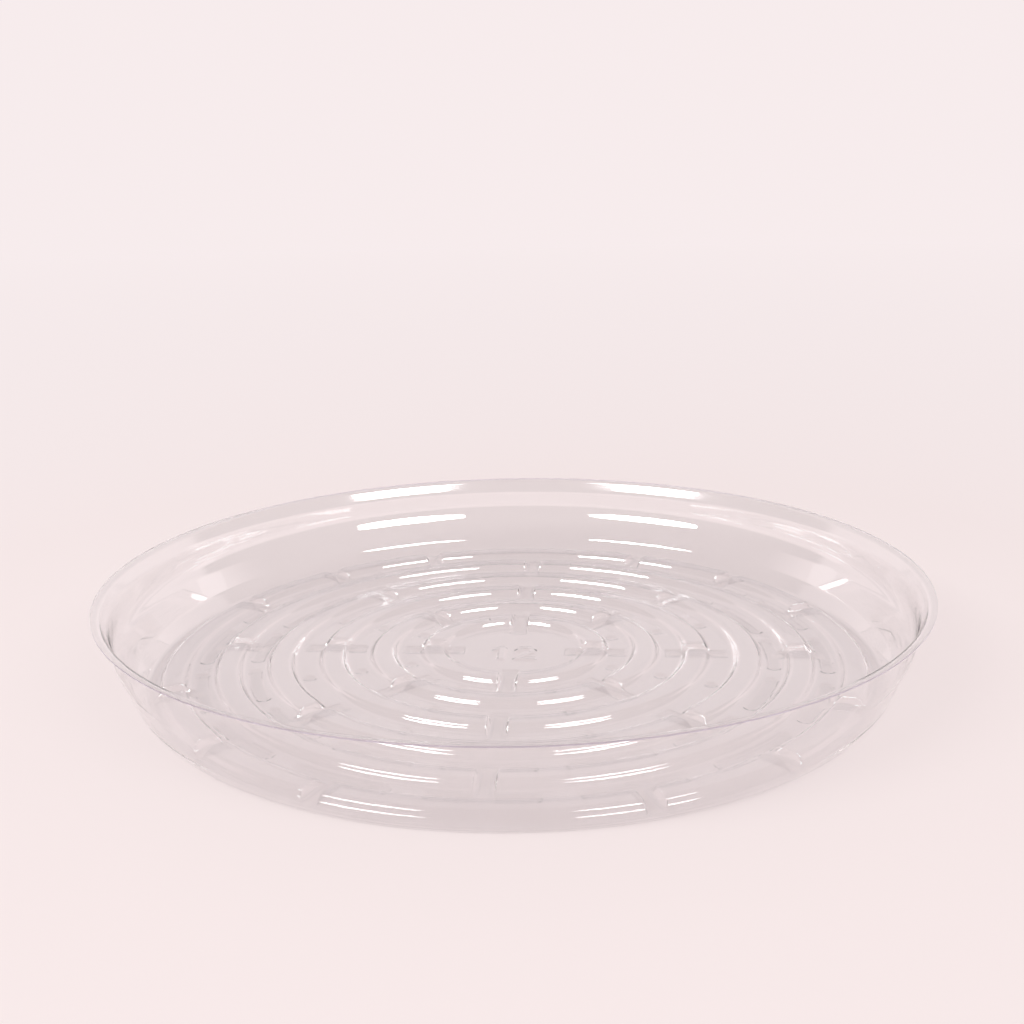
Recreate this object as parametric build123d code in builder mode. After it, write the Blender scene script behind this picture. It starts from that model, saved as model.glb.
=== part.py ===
from build123d import *
import os
from math import cos, radians, sin

# Clear plant saucer of the 12 inch size: one plastic sheet formed over a mould. Millimetres, +Z up.
# The origin is the centre of the circle that the saucer stands on.
os.makedirs("parts", exist_ok=True)

# Sheet and rim
sheet = 0.5
rim_diameter = 304.8
rim_height = 34.0
flange_width = 2.8

# Wall, from the floor up: a heel that leans far out, a plain cone, a flatter shoulder, a steep band and a
# flare under the rim. Each rise is a height and each run is how far the wall leans out over it.
heel_rise = 5.6
heel_run = 3.9
lower_rise = 9.9
lower_run = 3.6
shoulder_rise = 4.3
shoulder_run = 2.2
steep_run = 1.0
flare_rise = 5.5
flare_run = 2.2

# Floor: ridges with a flat top and sloping flanks, set out from the wall inwards up to the centre disc
foot_depth = 0.7
standing_ring_width = 4.8
ridge_pitch = 19.2
ridge_top_width = 8.0
ridge_height = 3.0
ridge_flank_run = 0.9
least_disc_radius = 20.0

# Notches that let water cross the ridges. Each runs on as a shallow channel past the middle of both grooves.
# The outermost ridge is notched at every step round the floor but the axes, the others four times.
step_count = 16
inner_notch_count = 4
channel_width = 5.4
channel_draft = 10.0
channel_past_middle = 1.6

# Feet: a bar along each step of the outer grooves, as deep as the channels
bar_width = 3.6
bar_span = 15.0
barred_grooves = 2

# How far the section of a forming block runs past the axis and below the floor
block_margin = 6.0

rim_radius = rim_diameter / 2
rim_inner_radius = rim_radius - flange_width
flare_radius = rim_inner_radius - flare_run
shoulder_top_radius = flare_radius - steep_run
shoulder_radius = shoulder_top_radius - shoulder_run
heel_radius = shoulder_radius - lower_run
base_radius = heel_radius - heel_run

# Heights of the sheet's upper face
foot_top = sheet
groove_top = foot_top + foot_depth
ridge_top = groove_top + ridge_height
heel_height = foot_top + heel_rise
shoulder_height = heel_height + lower_rise
shoulder_top_height = shoulder_height + shoulder_rise
flare_height = rim_height - flare_rise

# Ridges by their middle radius, the outermost first, and the grooves between them
ridge_width = ridge_top_width + 2 * ridge_flank_run
outer_ridge_radius = base_radius - standing_ring_width - ridge_width / 2
ridge_count = int((outer_ridge_radius - ridge_width / 2 - least_disc_radius) / ridge_pitch) + 1
ridge_radii = [outer_ridge_radius - ridge_pitch * i for i in range(ridge_count)]
groove_radii = [radius - ridge_pitch / 2 for radius in ridge_radii[:-1]]


def section_points(beyond):
    """Corners of the half section under the upper face, from the rim to the axis. The block's outer side
    and its bottom lie further out by the given length."""
    points = [
        (rim_radius + beyond, rim_height),
        (rim_inner_radius, rim_height),
        (flare_radius, flare_height),
        (shoulder_top_radius, shoulder_top_height),
        (shoulder_radius, shoulder_height),
        (heel_radius, heel_height),
        (base_radius, foot_top),
    ]
    flank_slope = ridge_flank_run / ridge_height
    outer_foot = foot_top
    for radius in ridge_radii:
        points += [
            (radius + ridge_top_width / 2 + flank_slope * (ridge_top - outer_foot), outer_foot),
            (radius + ridge_top_width / 2, ridge_top),
            (radius - ridge_top_width / 2, ridge_top),
            (radius - ridge_width / 2, groove_top),
        ]
        outer_foot = groove_top
    points += [
        (-block_margin, groove_top),
        (-block_margin, -block_margin - beyond),
        (rim_radius + beyond, -block_margin - beyond),
    ]
    return points


def notch_angles(index):
    """Angles of one ridge's notches, with index 0 for the outermost ridge. The ridges inside it are notched
    on the axes and between them by turns."""
    axis_step = 360 / inner_notch_count
    if index == 0:
        steps = [360 / step_count * i for i in range(step_count)]
        return [angle for angle in steps if angle % axis_step]
    first = 0 if index % 2 else axis_step / 2
    return [first + axis_step * i for i in range(inner_notch_count)]


def forming_block(depth):
    """The solid under the sheet, with its upper face set back from the sheet's upper face by depth. Its other
    sides end up outside those of the block with no depth."""
    # How much wider a channel's floor gets on each side when floor and leaning flanks are set back by depth
    growth = depth * (1 - sin(radians(channel_draft))) / cos(radians(channel_draft))
    with BuildPart() as block:
        with BuildSketch(Plane.XZ):
            with BuildLine():
                Polyline(*section_points(2 * depth), close=True)
            make_face()
            if depth:
                offset(amount=-depth, kind=Kind.INTERSECTION)
            past_axis = (Align.MAX, Align.CENTER)
            Rectangle(2 * block_margin, 2 * rim_diameter, align=past_axis, mode=Mode.SUBTRACT)
        revolve(axis=Axis.Z)

        # Channels through the ridges, wider towards the top
        with BuildSketch(Plane.XY.offset(foot_top - depth)):
            for index, radius in enumerate(ridge_radii):
                inner_end = radius - ridge_pitch / 2 - channel_past_middle
                outer_end = radius + ridge_pitch / 2 + channel_past_middle
                if index == 0:
                    outer_end = base_radius - standing_ring_width / 2
                for angle in notch_angles(index):
                    with PolarLocations((inner_end + outer_end) / 2, 1, start_angle=angle):
                        Rectangle(outer_end - inner_end + 2 * growth, channel_width + 2 * growth)
        extrude(amount=ridge_top + depth, taper=-channel_draft, mode=Mode.SUBTRACT)

        # Bars along the outer grooves, straight down from the groove floor
        with BuildSketch(Plane.XY.offset(foot_top - depth)):
            for radius in groove_radii[:barred_grooves]:
                bar_length = 2 * radius * sin(radians(bar_span / 2))
                with PolarLocations(radius, step_count):
                    Rectangle(bar_width + 2 * depth, bar_length + 2 * depth)
        extrude(amount=foot_depth + sheet, mode=Mode.SUBTRACT)
    return block.part


# The sheet is what lies between the block under its upper face and the block under its lower face
upper_block = forming_block(0)
lower_block = forming_block(sheet)

with BuildPart() as saucer:
    add(upper_block)
    add(lower_block, mode=Mode.SUBTRACT)

saucer.part.label = "saucer"
export_step(saucer.part, "parts/saucer.step")
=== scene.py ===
from math import asin, atan2, cos, hypot, pi, radians, sin, tan

import bpy
import numpy as np
from mathutils import Matrix, Vector
from mathutils.geometry import delaunay_2d_cdt


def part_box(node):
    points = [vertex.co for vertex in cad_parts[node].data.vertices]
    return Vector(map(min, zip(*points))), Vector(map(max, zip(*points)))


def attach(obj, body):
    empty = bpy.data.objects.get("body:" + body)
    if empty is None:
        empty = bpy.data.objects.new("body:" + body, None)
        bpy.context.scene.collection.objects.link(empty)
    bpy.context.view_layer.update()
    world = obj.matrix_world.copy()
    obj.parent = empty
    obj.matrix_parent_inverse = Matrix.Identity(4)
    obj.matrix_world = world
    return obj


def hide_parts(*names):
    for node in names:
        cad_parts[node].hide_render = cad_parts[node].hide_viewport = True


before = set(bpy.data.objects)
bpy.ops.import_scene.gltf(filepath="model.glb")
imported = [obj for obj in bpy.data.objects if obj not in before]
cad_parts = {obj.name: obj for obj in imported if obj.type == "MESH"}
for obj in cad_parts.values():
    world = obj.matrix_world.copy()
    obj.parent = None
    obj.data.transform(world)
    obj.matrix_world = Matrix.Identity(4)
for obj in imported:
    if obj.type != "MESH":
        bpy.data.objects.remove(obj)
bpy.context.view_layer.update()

_, high_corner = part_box("saucer")

# Sizes in millimetres. The rim's size comes from the frame. The main forms have the solid's sizes, but the
# ridge flanks and the flare lean a little more here, as the highlights in the photo ask.
MM = 0.001
rim_radius = high_corner[0] / MM
rim_height = high_corner[2] / MM
sheet = 0.5
flange_width = 2.8

# Wall, from the floor up
heel_rise, heel_run = 5.6, 3.9
lower_rise, lower_run = 9.9, 3.6
shoulder_rise, shoulder_run = 4.3, 2.2
steep_run = 0.8
flare_rise, flare_run = 5.5, 2.4

# Floor
foot_depth = 0.7
outer_ridge_radius = 127.0
ridge_pitch = 19.2
ridge_count = 6
ridge_top_width = 7.3
ridge_height = 3.0
ridge_flank_run = 1.6
channel_width = 5.4
channel_lean = 10.0
channel_past_middle = 1.6
bar_width = 3.6
bar_span = 15.0
barred_grooves = 2
dot_diameter = 3.0
foot_lean = 55.0

# Rounding of the upper face where it turns down and where it turns up
ridge_edge_radius, ridge_foot_radius = 2.5, 2.5
channel_edge_radius, channel_floor_radius = 1.2, 1.0
foot_edge_radius, foot_floor_radius = 1.0, 0.8
number_foot_radius, number_edge_radius = 0.4, 0.6

# Rounding of the wall's corners, from its foot to the rim
wall_radii = (2.0, 6.0, 20.0, 16.0, 9.0, 2.2)

# Size number in the middle of the floor: strokes of raised line, upright for someone at -Y
number_relief = 0.9
number_stroke = 1.6
number_lean = 50.0

foot_top = sheet
groove_top = foot_top + foot_depth
ridge_top = groove_top + ridge_height
rim_inner_radius = rim_radius - flange_width
flare_radius = rim_inner_radius - flare_run
shoulder_top_radius = flare_radius - steep_run
shoulder_radius = shoulder_top_radius - shoulder_run
heel_radius = shoulder_radius - lower_run
base_radius = heel_radius - heel_run
heel_height = foot_top + heel_rise
shoulder_height = heel_height + lower_rise
ridge_half_width = ridge_top_width / 2 + ridge_flank_run
outer_foot_half_width = ridge_half_width + foot_depth * ridge_flank_run / ridge_height
ridge_radii = [outer_ridge_radius - ridge_pitch * i for i in range(ridge_count)]
groove_radii = [radius - ridge_pitch / 2 for radius in ridge_radii[:-1]]

# Mesh: columns round the sheet, chords in a rounding, and the circles where disc, floor and wall meet
COLUMNS = 160
EIGHTH = pi / 4
column_step = 2 * pi / COLUMNS
exact_chords, mesh_chords, foot_chords, number_chords = 200, 3, 2, 50
disc_radius = 15.5
disc_border = 1.0
join_radius = 134.2
join_margin = 0.5
number_grid, number_grid_reach = 0.4, 13.2
least_circle_gap, least_point_gap, plain_point_gap = 0.05, 0.1, 0.7
foot_margin = 0.1
merge_distance = 1e-7


def rounded_path(corners, radii, chords):
    """Points along straight runs with rounded corners, cut into chords, and the heading at each point."""
    corners = [np.array(corner) for corner in corners]
    headings = [atan2(*(after - before)[::-1]) for before, after in zip(corners, corners[1:])]
    path = [(*corners[0], headings[0])]
    for corner, radius, heading, next_heading in zip(corners[1:-1], radii, headings, headings[1:]):
        turn = next_heading - heading
        reach = radius * tan(abs(turn) / 2)
        side = radius * np.sign(turn)
        start = corner - reach * np.array((cos(heading), sin(heading)))
        centre = start + side * np.array((-sin(heading), cos(heading)))
        for angle in np.linspace(heading, next_heading, chords + 1):
            path.append((*(centre - side * np.array((-sin(angle), cos(angle)))), angle))
    path.append((*corners[-1], headings[-1]))
    return np.array(path)


def step_path(height, lean, floor_radius, edge_radius, chords):
    """Run and rise of a rounded step up. Its sharp foot is at run 0, and its side leans from the upright."""
    run = height * tan(radians(lean))
    far = 10 * height
    corners = [(-far, 0.0), (0.0, 0.0), (run, height), (run + far, height)]
    return rounded_path(corners, (floor_radius, edge_radius), chords)[1:-1]


def section_corners():
    """The upper face from the centre to the rim, with the rounding of each corner but the ends."""
    corners = [(0.0, groove_top)]
    radii = []
    for radius in reversed(ridge_radii):
        outer_foot = (radius + ridge_half_width, groove_top)
        if radius == outer_ridge_radius:
            outer_foot = (radius + outer_foot_half_width, foot_top)
        corners += [
            (radius - ridge_half_width, groove_top),
            (radius - ridge_top_width / 2, ridge_top),
            (radius + ridge_top_width / 2, ridge_top),
            outer_foot,
        ]
        radii += [ridge_foot_radius, ridge_edge_radius, ridge_edge_radius, ridge_foot_radius]
    corners += [
        (base_radius, foot_top),
        (heel_radius, heel_height),
        (shoulder_radius, shoulder_height),
        (shoulder_top_radius, shoulder_height + shoulder_rise),
        (flare_radius, rim_height - flare_rise),
        (rim_inner_radius, rim_height),
        (rim_radius, rim_height),
    ]
    return corners, radii + list(wall_radii)


# The exact forms, and the runs where the mesh has lines across their sides
exact_section = rounded_path(*section_corners(), exact_chords)
mesh_section = rounded_path(*section_corners(), mesh_chords)
channel_form = (ridge_top - foot_top, channel_lean, channel_floor_radius, channel_edge_radius)
channel_step = step_path(*channel_form, exact_chords)
channel_lines = step_path(*channel_form, mesh_chords)[:, 0]
foot_form = (foot_depth, foot_lean, foot_floor_radius, foot_edge_radius)
foot_step = step_path(*foot_form, exact_chords)
foot_lines = step_path(*foot_form, foot_chords)[:, 0]
number_step = step_path(number_relief, number_lean, number_foot_radius, number_edge_radius, number_chords)


def channels():
    """Angle and radial ends of each channel in the eighth of the floor between +X and +X+Y."""
    for index, radius in enumerate(ridge_radii):
        inner_end = radius - ridge_pitch / 2 - channel_past_middle
        outer_end = radius + ridge_pitch / 2 + channel_past_middle
        if index == 0:
            yield EIGHTH / 2, inner_end, base_radius
            yield EIGHTH, inner_end, base_radius
        else:
            yield (0.0 if index % 2 else EIGHTH), inner_end, outer_end


def share(step, distance):
    """How far up a rounded step a place is, from 0 to 1, at its distance outside the step's foot."""
    return np.interp(distance, step[:, 0], step[:, 1] / step[-1, 1])


def pattern(x, y):
    """1 where the section stands at full height, 0 on the floor of a channel, bar or dot."""
    x, y = np.maximum(abs(x), abs(y)), np.minimum(abs(x), abs(y))
    radius, angle = np.hypot(x, y), np.arctan2(y, x)
    level = np.ones_like(x)
    for turn, inner_end, outer_end in channels():
        middle, half_length = (inner_end + outer_end) / 2, (outer_end - inner_end) / 2
        along = abs(x * cos(turn) + y * sin(turn) - middle) - half_length
        across = abs(y * cos(turn) - x * sin(turn)) - channel_width / 2
        outside = np.hypot(np.maximum(along, 0), np.maximum(across, 0))
        inside = np.minimum(np.maximum(along, across), 0)
        level *= share(channel_step, outside + inside)
    for index, groove in enumerate(groove_radii):
        if index < barred_grooves:
            for turn in (0.0, EIGHTH / 2, EIGHTH):
                beyond_end = groove * np.maximum(abs(angle - turn) - radians(bar_span / 2), 0)
                level *= share(foot_step, np.hypot(radius - groove, beyond_end) - bar_width / 2)
        else:
            from_dot = np.hypot(x - groove * cos(EIGHTH / 2), y - groove * sin(EIGHTH / 2))
            level *= share(foot_step, from_dot - dot_diameter / 2)
    return level


def number_strokes():
    """Straight pieces of the strokes of a plain 1 and a plain 2."""
    one = [(-7.0, -0.8), (-4.4, 1.4), (-4.4, -9.6)]
    bow = [(4.4 + 2.9 * cos(a), -1.5 + 2.9 * sin(a)) for a in np.linspace(radians(165), radians(-42), 12)]
    two = bow + [(1.4, -9.6), (7.6, -9.6)]
    return [piece for line in (one, two) for piece in zip(line, line[1:])]


def number_height(x, y):
    """Height of the raised number above the floor."""
    nearest = np.full_like(x, np.inf)
    for (x0, y0), (x1, y1) in number_strokes():
        length = hypot(x1 - x0, y1 - y0)
        along = np.clip(((x - x0) * (x1 - x0) + (y - y0) * (y1 - y0)) / length**2, 0, 1)
        nearest = np.minimum(nearest, np.hypot(x - x0 - along * (x1 - x0), y - y0 - along * (y1 - y0)))
    return number_relief * (1 - share(number_step, nearest - number_stroke / 2))


def height(x, y):
    """Height of the sheet's upper face over the floor plan."""
    section = np.interp(np.hypot(x, y), exact_section[:, 0], exact_section[:, 1])
    return foot_top + (section - foot_top) * pattern(x, y) + number_height(x, y)


def normals(x, y, reach=0.02):
    """Upright directions of the upper face, from its slopes over a short reach each way."""
    slope_x = (height(x + reach, y) - height(x - reach, y)) / (2 * reach)
    slope_y = (height(x, y + reach) - height(x, y - reach)) / (2 * reach)
    up = np.stack((-slope_x, -slope_y, np.ones_like(x)), axis=1)
    return up / np.linalg.norm(up, axis=1, keepdims=True)


def circle_radii():
    """Radii of the mesh's circles on the floor, close together where the section or the feet turn."""
    radii = [radius for radius in mesh_section[:, 0] if disc_radius < radius < join_radius]
    for index, groove in enumerate(groove_radii):
        half_width = (bar_width if index < barred_grooves else dot_diameter) / 2
        for line in foot_lines:
            radii += [groove - half_width - line, groove + half_width + line]
        radii += [groove]
    radii += [ridge_radii[-1] - ridge_pitch / 2 - channel_past_middle - line for line in channel_lines]
    radii += [disc_radius, join_radius]
    radii = sorted(radii)
    return [a for a, b in zip(radii, radii[1:] + [np.inf]) if b - a > least_circle_gap]


def column_angles(radius):
    """Angles of the mesh's points on one circle of the eighth, closer where channels, bars or dots end."""
    fine = []
    for turn, inner_end, outer_end in channels():
        last_circle = min(outer_end + channel_lines[-1], join_radius - join_margin)
        if inner_end - channel_lines[-1] < radius < last_circle:
            lines = [0.0, channel_width / 4] + [channel_width / 2 + line for line in channel_lines]
            fine += [turn + sign * asin(line / radius) for line in lines for sign in (1, -1)]
    for index, groove in enumerate(groove_radii):
        half_width = (bar_width if index < barred_grooves else dot_diameter) / 2
        if abs(radius - groove) > half_width + foot_lines[-1] + foot_margin:
            continue
        lines = [0.0, half_width / 2] + [half_width + line for line in foot_lines]
        if index < barred_grooves:
            for turn in (0, EIGHTH / 2, EIGHTH):
                for sign in (1, -1):
                    end = turn + sign * radians(bar_span / 2)
                    fine += [end + sign * line / groove for line in lines]
        else:
            fine += [EIGHTH / 2 + sign * line / groove for line in lines for sign in (1, -1)]
    fine = np.array([angle for angle in fine if 0 < angle < EIGHTH])
    plain = np.arange(0, EIGHTH + column_step / 2, column_step)
    if len(fine):
        apart = np.min(abs(plain[:, None] - fine[None, :]), axis=1) * radius > plain_point_gap
        apart[[0, -1]] = True
        plain = plain[apart]
    angles = [0.0]
    for angle in sorted({*fine, *plain[1:-1]}):
        if min(angle - angles[-1], EIGHTH - angle) * radius > least_point_gap:
            angles.append(angle)
    return angles + [EIGHTH]


def eighth_mesh():
    """Plan points and triangles of the floor between disc and join, in the eighth between +X and +X+Y."""
    points, edges, starts, ends = [], [], [], []
    for radius in circle_radii():
        first = len(points)
        points += [Vector((radius * cos(angle), radius * sin(angle))) for angle in column_angles(radius)]
        last = len(points) - 1
        edges += [(i, i + 1) for i in range(first, last)]
        starts.append(first)
        ends.append(last)
    for border in (starts, ends):
        edges += list(zip(border, border[1:]))
    found = delaunay_2d_cdt(points, edges, [], 1, merge_distance)
    return np.array([tuple(point) for point in found[0]]), np.array(found[2])


def floor_mesh():
    """The eighth, mirrored about its diagonal and turned four times."""
    points, triangles = eighth_mesh()
    all_points, all_triangles = [], []
    for quarter in range(4):
        angle = quarter * pi / 2
        turn = np.array(((cos(angle), sin(angle)), (-sin(angle), cos(angle))))
        for copy, order in ((points, 1), (points[:, ::-1], -1)):
            all_triangles.append(triangles[:, ::order] + len(points) * len(all_points))
            all_points.append(copy @ turn)
    return np.concatenate(all_points), np.concatenate(all_triangles)


def circle(radius):
    """Plan points of one whole circle."""
    angles = np.arange(COLUMNS) * column_step
    return np.stack((radius * np.cos(angles), radius * np.sin(angles)), axis=1)


def disc_mesh():
    """Plan points and triangles of the centre disc, with a fine grid under the number."""
    reach = np.arange(-number_grid_reach, number_grid_reach + number_grid / 4, number_grid)
    grid = np.stack(np.meshgrid(reach, reach), axis=-1).reshape(-1, 2)
    grid = grid[np.hypot(*grid.T) < disc_radius - 2 * disc_border]
    points = np.concatenate((circle(disc_radius), circle(disc_radius - disc_border), grid))
    edges = [(i, (i + 1) % COLUMNS) for i in range(COLUMNS)]
    found = delaunay_2d_cdt([Vector(point) for point in points], edges, [], 1, merge_distance)
    return np.array([tuple(point) for point in found[0]]), np.array(found[2])


def wall_mesh():
    """Plan points, heights, upright directions and triangles of the wall and the flange."""
    rows = [(join_radius, foot_top, 0.0)] + [tuple(row) for row in mesh_section if row[0] > join_radius]
    points = np.concatenate([circle(radius) for radius, _, _ in rows])
    heights = np.repeat([row_height for _, row_height, _ in rows], COLUMNS)
    directions = np.concatenate([
        np.column_stack((-sin(heading) * circle(1), np.full(COLUMNS, cos(heading))))
        for _, _, heading in rows
    ])
    triangles = []
    for row in range(len(rows) - 1):
        for column in range(COLUMNS):
            a = row * COLUMNS + column
            b = row * COLUMNS + (column + 1) % COLUMNS
            triangles += [(a, a + COLUMNS, b + COLUMNS), (a, b + COLUMNS, b)]
    return points, heights, directions, np.array(triangles)


def sheet_object():
    """The formed sheet as one closed mesh: upper face, lower face and the cut edge of the rim."""
    disc_points, disc_triangles = disc_mesh()
    floor_points, floor_triangles = floor_mesh()
    wall_points, wall_heights, wall_directions, wall_triangles = wall_mesh()
    flat = np.concatenate((disc_points, floor_points))
    plan = np.concatenate((flat, wall_points))
    heights = np.concatenate((height(*flat.T), wall_heights))
    directions = np.concatenate((normals(*flat.T), wall_directions))
    triangles = np.concatenate((
        disc_triangles,
        floor_triangles + len(disc_points),
        wall_triangles + len(flat),
    ))
    _, kept, places = np.unique(np.round(plan, 3), axis=0, return_index=True, return_inverse=True)
    upper = np.column_stack((plan, heights))[kept]
    directions = directions[kept]
    triangles = places.reshape(-1)[triangles]
    lower = upper - sheet * directions
    count = len(upper)

    rim = [int(places.reshape(-1)[len(plan) - COLUMNS + i]) for i in range(COLUMNS)]
    rim_next = rim[1:] + rim[:1]
    strip = [(a, a + count, b + count, b) for a, b in zip(rim, rim_next)]
    faces = triangles.tolist() + (triangles[:, ::-1] + count).tolist() + strip

    mesh = bpy.data.meshes.new("saucer_sheet")
    mesh.from_pydata((np.concatenate((upper, lower)) * MM).tolist(), [], faces)
    mesh.polygons.foreach_set("use_smooth", np.ones(len(faces), dtype=bool))
    mesh.polygons.foreach_set("material_index", np.repeat((0, 1), (2 * len(triangles), COLUMNS)))

    # Directions of each face's corners: those of the two faces, and straight out on the cut edge
    outward = upper * (1, 1, 0) / rim_radius
    corner_directions = np.concatenate((
        directions[triangles.reshape(-1)],
        -directions[triangles[:, ::-1].reshape(-1)],
        outward[np.array(strip).reshape(-1) % count],
    ))
    mesh.normals_split_custom_set(corner_directions.tolist())
    mesh.update()
    obj = bpy.data.objects.new("saucer_sheet", mesh)
    bpy.context.collection.objects.link(obj)
    return obj


def new_material(name):
    """An empty node material, with its nodes and links."""
    material = bpy.data.materials.new(name)
    material.use_nodes = True
    nodes, links = material.node_tree.nodes, material.node_tree.links
    nodes.clear()
    return material, nodes, links


# Clear vinyl. Its body bends light little, and its coat stands for the reflections of both faces.
vinyl_color = (0.975, 0.968, 0.971, 1)
body_ior, coat_ior = 1.025, 1.8
least_roughness, most_roughness = 0.01, 0.035
cloud_scale, cloud_detail = 60.0, 4.0
wave_scale, wave_detail = 45.0, 1.0
wave_depth, wave_strength = 0.4, 0.1

# The coat is hazy where the sheet was stretched over the edge of the mould, between these heights
haze_bottom, haze_top = 26.0, 31.0
haze_roughness = 0.08

# Share of the light that one face lets through at a height: on the bars' floor, grooves, ridges, wall. The
# lower share where the sheet lies on the table (floors of bars and channels, standing ring) is painted
# shade: it darkens the table under them as seen through the sheet.
clearness_and_painted_shade = [(0.55, 0.91), (0.7, 0.95), (4.0, 0.955), (10.0, 0.945)]
less_green, less_blue = 0.003, 0.001

# Cut edge of the rim
edge_color = (0.6, 0.5, 0.62, 1)
vinyl_ior = 1.53
least_edge_roughness, most_edge_roughness = 0.25, 0.5
edge_grain_scale = 900.0


def add_gloss(nodes, links, place, level, vinyl):
    """Faint cloudy changes of gloss, and the haze of the coat just under the rim."""
    cloud = nodes.new("ShaderNodeTexNoise")
    cloud.inputs["Scale"].default_value = cloud_scale
    cloud.inputs["Detail"].default_value = cloud_detail
    gloss = nodes.new("ShaderNodeMapRange")
    gloss.inputs["To Min"].default_value = least_roughness
    gloss.inputs["To Max"].default_value = most_roughness
    haze = nodes.new("ShaderNodeMapRange")
    haze.inputs["From Min"].default_value = haze_bottom * MM
    haze.inputs["From Max"].default_value = haze_top * MM
    haze.inputs["To Max"].default_value = haze_roughness
    roughness = nodes.new("ShaderNodeMath")
    links.new(place, cloud.inputs["Vector"])
    links.new(cloud.outputs["Fac"], gloss.inputs["Value"])
    links.new(level, haze.inputs["Value"])
    links.new(gloss.outputs["Result"], roughness.inputs[0])
    links.new(haze.outputs["Result"], roughness.inputs[1])
    links.new(gloss.outputs["Result"], vinyl.inputs["Roughness"])
    links.new(roughness.outputs["Value"], vinyl.inputs["Coat Roughness"])


def add_waves(nodes, links, place, vinyl):
    """Slight waves that the forming leaves in the sheet."""
    wave = nodes.new("ShaderNodeTexNoise")
    wave.inputs["Scale"].default_value = wave_scale
    wave.inputs["Detail"].default_value = wave_detail
    bump = nodes.new("ShaderNodeBump")
    bump.inputs["Strength"].default_value = wave_strength
    bump.inputs["Distance"].default_value = wave_depth * MM
    links.new(place, wave.inputs["Vector"])
    links.new(wave.outputs["Fac"], bump.inputs["Height"])
    links.new(bump.outputs["Normal"], vinyl.inputs["Normal"])
    links.new(bump.outputs["Normal"], vinyl.inputs["Coat Normal"])


def clear_tint(nodes, links, level):
    """Colour of the light that goes straight through one face, by its height, with painted shade where the
    sheet lies on the table.
    """
    top = clearness_and_painted_shade[-1][0]
    share_of_top = nodes.new("ShaderNodeMapRange")
    share_of_top.inputs["From Max"].default_value = top * MM
    tint = nodes.new("ShaderNodeValToRGB")
    stops = tint.color_ramp.elements
    stops.remove(stops[0])
    for at, clear in clearness_and_painted_shade:
        stop = stops[-1] if at == top else stops.new(at / top)
        stop.color = (clear, clear - less_green, clear - less_blue, 1)
    links.new(level, share_of_top.inputs["Value"])
    links.new(share_of_top.outputs["Result"], tint.inputs["Fac"])
    return tint.outputs["Color"]


def clear_vinyl():
    """Clear glossy vinyl: smooth, a little wavy from the forming, with faint cloudy changes of gloss."""
    material, nodes, links = new_material("clear_vinyl")
    output = nodes.new("ShaderNodeOutputMaterial")
    vinyl = nodes.new("ShaderNodeBsdfPrincipled")
    vinyl.inputs["Base Color"].default_value = vinyl_color
    vinyl.inputs["Transmission Weight"].default_value = 1.0
    vinyl.inputs["IOR"].default_value = body_ior
    vinyl.inputs["Coat Weight"].default_value = 1.0
    vinyl.inputs["Coat IOR"].default_value = coat_ior
    place = nodes.new("ShaderNodeTexCoord").outputs["Object"]
    upright = nodes.new("ShaderNodeSeparateXYZ")
    links.new(place, upright.inputs["Vector"])
    add_gloss(nodes, links, place, upright.outputs["Z"], vinyl)
    add_waves(nodes, links, place, vinyl)

    # Light that falls on the floor goes straight through the sheet, less what the two faces reflect, and
    # less again as painted shade where the sheet lies on the table
    through = nodes.new("ShaderNodeBsdfTransparent")
    links.new(clear_tint(nodes, links, upright.outputs["Z"]), through.inputs["Color"])
    rays = nodes.new("ShaderNodeLightPath")
    surface = vinyl.outputs["BSDF"]
    for kind in ("Is Shadow Ray", "Is Diffuse Ray"):
        mix = nodes.new("ShaderNodeMixShader")
        links.new(rays.outputs[kind], mix.inputs["Fac"])
        links.new(surface, mix.inputs[1])
        links.new(through.outputs["BSDF"], mix.inputs[2])
        surface = mix.outputs["Shader"]
    links.new(surface, output.inputs["Surface"])
    return material


def cut_edge():
    """The rim's cut edge: the vinyl seen along the sheet, so deeper in colour, and matt from the knife."""
    material, nodes, links = new_material("vinyl_cut_edge")
    output = nodes.new("ShaderNodeOutputMaterial")
    edge = nodes.new("ShaderNodeBsdfPrincipled")
    edge.inputs["Base Color"].default_value = edge_color
    edge.inputs["Transmission Weight"].default_value = 1.0
    edge.inputs["IOR"].default_value = vinyl_ior
    place = nodes.new("ShaderNodeTexCoord")
    grain = nodes.new("ShaderNodeTexNoise")
    grain.inputs["Scale"].default_value = edge_grain_scale
    gloss = nodes.new("ShaderNodeMapRange")
    gloss.inputs["To Min"].default_value = least_edge_roughness
    gloss.inputs["To Max"].default_value = most_edge_roughness
    links.new(place.outputs["Object"], grain.inputs["Vector"])
    links.new(grain.outputs["Fac"], gloss.inputs["Value"])
    links.new(gloss.outputs["Result"], edge.inputs["Roughness"])
    links.new(edge.outputs["BSDF"], output.inputs["Surface"])
    return material


# Camera of the photograph: places in degrees and metres, focal length in millimetres on a 36 mm film
camera_azimuth, camera_elevation, camera_distance = 4.91, 21.34, 0.467
camera_pitch, camera_roll = 14.64, -1.0
camera_lens, film_width = 42.15, 36.0
camera_clip_start = 0.01

# Tones of the studio
backdrop_color = (0.93, 0.84, 0.845, 1)
upper_backdrop_color = (0.58, 0.54, 0.55, 1)
room_color = (0.2, 0.19, 0.195, 1)
floor_color = (0.93, 0.835, 0.825, 1)

# The floor turns into the backdrop between these distances in metres
near_floor, far_floor = 0.3, 4.0
floor_half_size = 12.0

# Heights in degrees where the pale band ends and where the room and the upper backdrop have their full tone
backdrop_bend, room_bottom, backdrop_top = 9.0, 15.0, 28.0

# How far the backdrop reaches to each side of straight back, and the width of its soft edge, in degrees
backdrop_reach, backdrop_edge = 64.0, 4.0

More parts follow.
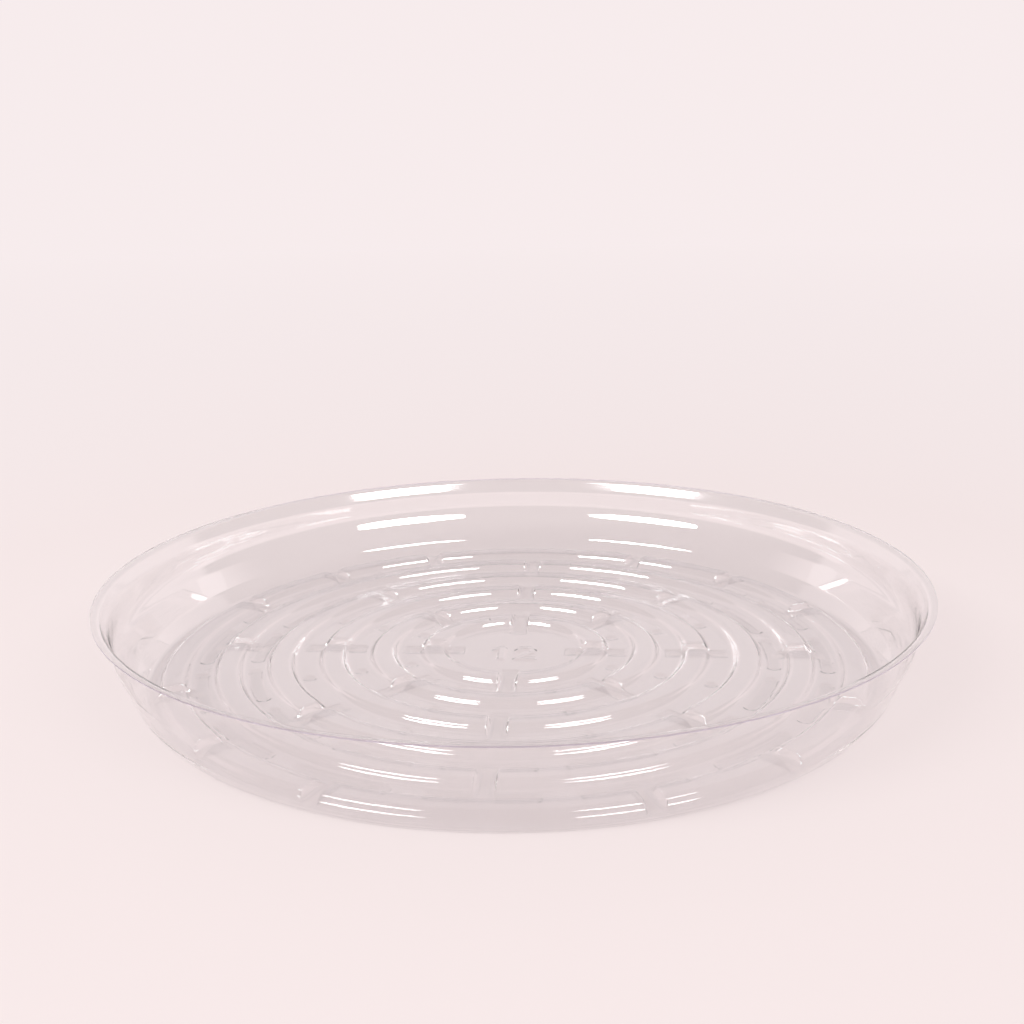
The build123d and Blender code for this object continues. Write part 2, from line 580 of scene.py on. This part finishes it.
# Lamps: angles in degrees, width and height in metres, and a brightness of 1 for that of white paper
lamp_distance = 10.0
softbox_elevation, softbox_roll, softbox_size = 37, 12, (6.0, 2.4)
left_softbox_azimuth, left_softbox_brightness = camera_azimuth - 51, 21.6
right_softbox_azimuth, right_softbox_brightness = camera_azimuth + 39, 10.9
window_elevation, window_size, window_brightness = 9, (2.0, 1.4), 0.25
left_window_azimuth, right_window_azimuth = camera_azimuth - 119, camera_azimuth + 115


def stage_floor():
    """A pale floor that takes the shadow near the saucer and turns into the backdrop further out."""
    mesh = bpy.data.meshes.new("floor")
    h = floor_half_size
    mesh.from_pydata([(-h, -h, 0), (h, -h, 0), (h, h, 0), (-h, h, 0)], [], [(0, 1, 2, 3)])
    floor = bpy.data.objects.new("floor", mesh)
    bpy.context.collection.objects.link(floor)
    material, nodes, links = new_material("pale_floor")
    output = nodes.new("ShaderNodeOutputMaterial")
    ground = nodes.new("ShaderNodeBsdfDiffuse")
    ground.inputs["Color"].default_value = floor_color
    glow = nodes.new("ShaderNodeEmission")
    glow.inputs["Color"].default_value = backdrop_color
    place = nodes.new("ShaderNodeTexCoord")
    distance = nodes.new("ShaderNodeVectorMath")
    distance.operation = "LENGTH"
    nearness = nodes.new("ShaderNodeMath")
    nearness.operation = "DIVIDE"
    nearness.inputs[0].default_value = 1.0
    far = nodes.new("ShaderNodeMapRange")
    far.inputs["From Min"].default_value = 1 / near_floor
    far.inputs["From Max"].default_value = 1 / far_floor
    mix = nodes.new("ShaderNodeMixShader")
    links.new(place.outputs["Object"], distance.inputs[0])
    links.new(distance.outputs["Value"], nearness.inputs[1])
    links.new(nearness.outputs["Value"], far.inputs["Value"])
    links.new(far.outputs["Result"], mix.inputs["Fac"])
    links.new(ground.outputs["BSDF"], mix.inputs[1])
    links.new(glow.outputs["Emission"], mix.inputs[2])
    links.new(mix.outputs["Shader"], output.inputs["Surface"])
    mesh.materials.append(material)


def direction(azimuth, elevation):
    """Unit vector from the saucer towards a place round it. Azimuth 0 is towards -Y and turns towards +X."""
    a, e = radians(azimuth), radians(elevation)
    return Vector((sin(a) * cos(e), -cos(a) * cos(e), sin(e)))


def add_lamp(name, azimuth, elevation, roll, size, brightness):
    """An oval lamp panel that faces the saucer."""
    width, height = size
    light = bpy.data.lights.new(name, "AREA")
    light.shape = "ELLIPSE"
    light.size = width
    light.size_y = height
    light.energy = brightness * pi * (pi / 4 * width * height)
    lamp = bpy.data.objects.new(name, light)
    bpy.context.collection.objects.link(lamp)
    lamp.location = direction(azimuth, elevation) * lamp_distance
    facing = direction(azimuth, elevation).to_track_quat("Z", "Y").to_matrix()
    lamp.rotation_euler = (facing @ Matrix.Rotation(radians(roll), 3, "Z")).to_euler()


def studio_world():
    """Pale all round near the floor, with a pale backdrop behind and a dim room on the camera's side."""
    world = bpy.data.worlds.new("studio")
    bpy.context.scene.world = world
    world.use_nodes = True
    nodes, links = world.node_tree.nodes, world.node_tree.links
    place = nodes.new("ShaderNodeTexCoord")
    backward = nodes.new("ShaderNodeVectorMath")
    backward.operation = "DOT_PRODUCT"
    backward.inputs[1].default_value = -direction(camera_azimuth, 0)
    reach = nodes.new("ShaderNodeMapRange")
    reach.interpolation_type = "SMOOTHSTEP"
    reach.inputs["From Min"].default_value = cos(radians(backdrop_reach + backdrop_edge / 2))
    reach.inputs["From Max"].default_value = cos(radians(backdrop_reach - backdrop_edge / 2))
    upright = nodes.new("ShaderNodeSeparateXYZ")
    tone = nodes.new("ShaderNodeMix")
    tone.data_type = "RGBA"
    links.new(place.outputs["Generated"], backward.inputs[0])
    links.new(place.outputs["Generated"], upright.inputs["Vector"])
    links.new(backward.outputs["Value"], reach.inputs["Value"])
    links.new(reach.outputs["Result"], tone.inputs["Factor"])
    for side, top, color in (("A", room_bottom, room_color), ("B", backdrop_top, upper_backdrop_color)):
        rise = nodes.new("ShaderNodeMapRange")
        rise.interpolation_type = "SMOOTHSTEP"
        rise.inputs["From Min"].default_value = sin(radians(backdrop_bend))
        rise.inputs["From Max"].default_value = sin(radians(top))
        wall = nodes.new("ShaderNodeMix")
        wall.data_type = "RGBA"
        wall.inputs["A"].default_value = backdrop_color
        wall.inputs["B"].default_value = color
        links.new(upright.outputs["Z"], rise.inputs["Value"])
        links.new(rise.outputs["Result"], wall.inputs["Factor"])
        links.new(wall.outputs["Result"], tone.inputs[side])
    links.new(tone.outputs["Result"], nodes["Background"].inputs["Color"])


def add_camera():
    """The camera at the photograph's place, looking a little above the middle of the saucer."""
    data = bpy.data.cameras.new("camera")
    data.sensor_width = film_width
    data.lens = camera_lens
    data.clip_start = camera_clip_start
    camera = bpy.data.objects.new("camera", data)
    bpy.context.collection.objects.link(camera)
    camera.matrix_world = (
        Matrix.Translation(direction(camera_azimuth, camera_elevation) * camera_distance)
        @ Matrix.Rotation(radians(camera_azimuth), 4, "Z")
        @ Matrix.Rotation(radians(90 - camera_pitch), 4, "X")
        @ Matrix.Rotation(radians(camera_roll), 4, "Z")
    )
    bpy.context.scene.camera = camera


saucer = sheet_object()
saucer.data.materials.append(clear_vinyl())
saucer.data.materials.append(cut_edge())
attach(saucer, "root")
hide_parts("saucer")

stage_floor()
studio_world()
add_lamp("softbox_left", left_softbox_azimuth, softbox_elevation, softbox_roll, softbox_size,
         left_softbox_brightness)
add_lamp("softbox_right", right_softbox_azimuth, softbox_elevation, -softbox_roll, softbox_size,
         right_softbox_brightness)
add_lamp("window_left", left_window_azimuth, window_elevation, 0, window_size, window_brightness)
add_lamp("window_right", right_window_azimuth, window_elevation, 0, window_size, window_brightness)
add_camera()
bpy.context.scene.view_settings.view_transform = "Standard"
